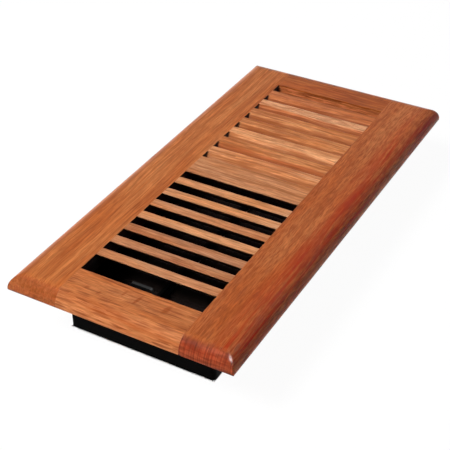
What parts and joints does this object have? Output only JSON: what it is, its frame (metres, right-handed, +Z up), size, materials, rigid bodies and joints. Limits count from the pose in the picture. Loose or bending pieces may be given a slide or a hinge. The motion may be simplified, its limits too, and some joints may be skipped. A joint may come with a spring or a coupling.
{
  "type": "floor register",
  "caption": "Drop-in oak floor register: louvred hardwood face with rounded edges over a black plastic damper box; a thumb tab in the end gap opens linked blades.",
  "frame": {"origin": "centre of the face's underside at floor level, on the damper box's axis", "axes": "+X across the face, +Y along it from the finger gap to the far end, +Z up out of the floor"},
  "size_m": [0.146, 0.295, 0.044],
  "materials": {
    "stained_oak": "stained and satin lacquered",
    "black_plastic": "moulded, fine matt",
    "zinc_steel": "zinc plated"
  },
  "bodies": {
    "register": {"left_stile": "stained_oak", "right_stile": "stained_oak", "near_rail": "stained_oak", "far_rail": "stained_oak", "centre_bar": "stained_oak", "near_slat_1": "stained_oak", "near_slat_2": "stained_oak", "near_slat_3": "stained_oak", "near_slat_4": "stained_oak", "near_slat_5": "stained_oak", "near_slat_6": "stained_oak", "near_slat_7": "stained_oak", "far_slat_1": "stained_oak", "far_slat_2": "stained_oak", "far_slat_3": "stained_oak", "far_slat_4": "stained_oak", "far_slat_5": "stained_oak", "far_slat_6": "stained_oak", "far_slat_7": "stained_oak", "damper_box": "black_plastic", "box_screws": "zinc_steel"},
    "blade_1": {"damper_blade_1": "black_plastic"},
    "blade_2": {"damper_blade_2": "black_plastic"},
    "blade_3": {"damper_blade_3": "black_plastic"},
    "blade_4": {"damper_blade_4": "black_plastic"},
    "blade_5": {"damper_blade_5": "black_plastic"},
    "blade_6": {"damper_blade_6": "black_plastic"},
    "blade_7": {"damper_blade_7": "black_plastic"},
    "blade_8": {"damper_blade_8": "black_plastic"},
    "link": {"link_bar": "black_plastic"}
  },
  "joints": [
    {"name": "damper_swing", "type": "hinge", "parent": "register", "child": "blade_1", "pos_m": [0, -0.10627, -0.01702], "axis": [-1, 0, 0], "range_deg": [0, 82]},
    {"name": "blade_2_pivot", "type": "hinge", "parent": "register", "child": "blade_2", "pos_m": [0, -0.07591, -0.01702], "axis": [-1, 0, 0], "range_deg": [0, 82]},
    {"name": "blade_3_pivot", "type": "hinge", "parent": "register", "child": "blade_3", "pos_m": [0, -0.04554, -0.01702], "axis": [-1, 0, 0], "range_deg": [0, 82]},
    {"name": "blade_4_pivot", "type": "hinge", "parent": "register", "child": "blade_4", "pos_m": [0, -0.01518, -0.01702], "axis": [-1, 0, 0], "range_deg": [0, 82]},
    {"name": "blade_5_pivot", "type": "hinge", "parent": "register", "child": "blade_5", "pos_m": [0, 0.01518, -0.01702], "axis": [-1, 0, 0], "range_deg": [0, 82]},
    {"name": "blade_6_pivot", "type": "hinge", "parent": "register", "child": "blade_6", "pos_m": [0, 0.04554, -0.01702], "axis": [-1, 0, 0], "range_deg": [0, 82]},
    {"name": "blade_7_pivot", "type": "hinge", "parent": "register", "child": "blade_7", "pos_m": [0, 0.07591, -0.01702], "axis": [-1, 0, 0], "range_deg": [0, 82]},
    {"name": "blade_8_pivot", "type": "hinge", "parent": "register", "child": "blade_8", "pos_m": [0, 0.10627, -0.01702], "axis": [-1, 0, 0], "range_deg": [0, 82]},
    {"name": "link_pivot", "type": "hinge", "parent": "blade_1", "child": "link", "pos_m": [-0.0025, -0.1102, -0.01249], "axis": [-1, 0, 0], "range_deg": [-82, 0]}
  ],
  "couplings": [
    {"joint": "blade_2_pivot", "follows": "damper_swing", "ratio": 1},
    {"joint": "blade_3_pivot", "follows": "damper_swing", "ratio": 1},
    {"joint": "blade_4_pivot", "follows": "damper_swing", "ratio": 1},
    {"joint": "blade_5_pivot", "follows": "damper_swing", "ratio": 1},
    {"joint": "blade_6_pivot", "follows": "damper_swing", "ratio": 1},
    {"joint": "blade_7_pivot", "follows": "damper_swing", "ratio": 1},
    {"joint": "blade_8_pivot", "follows": "damper_swing", "ratio": 1},
    {"joint": "link_pivot", "follows": "damper_swing", "ratio": -1}
  ]
}
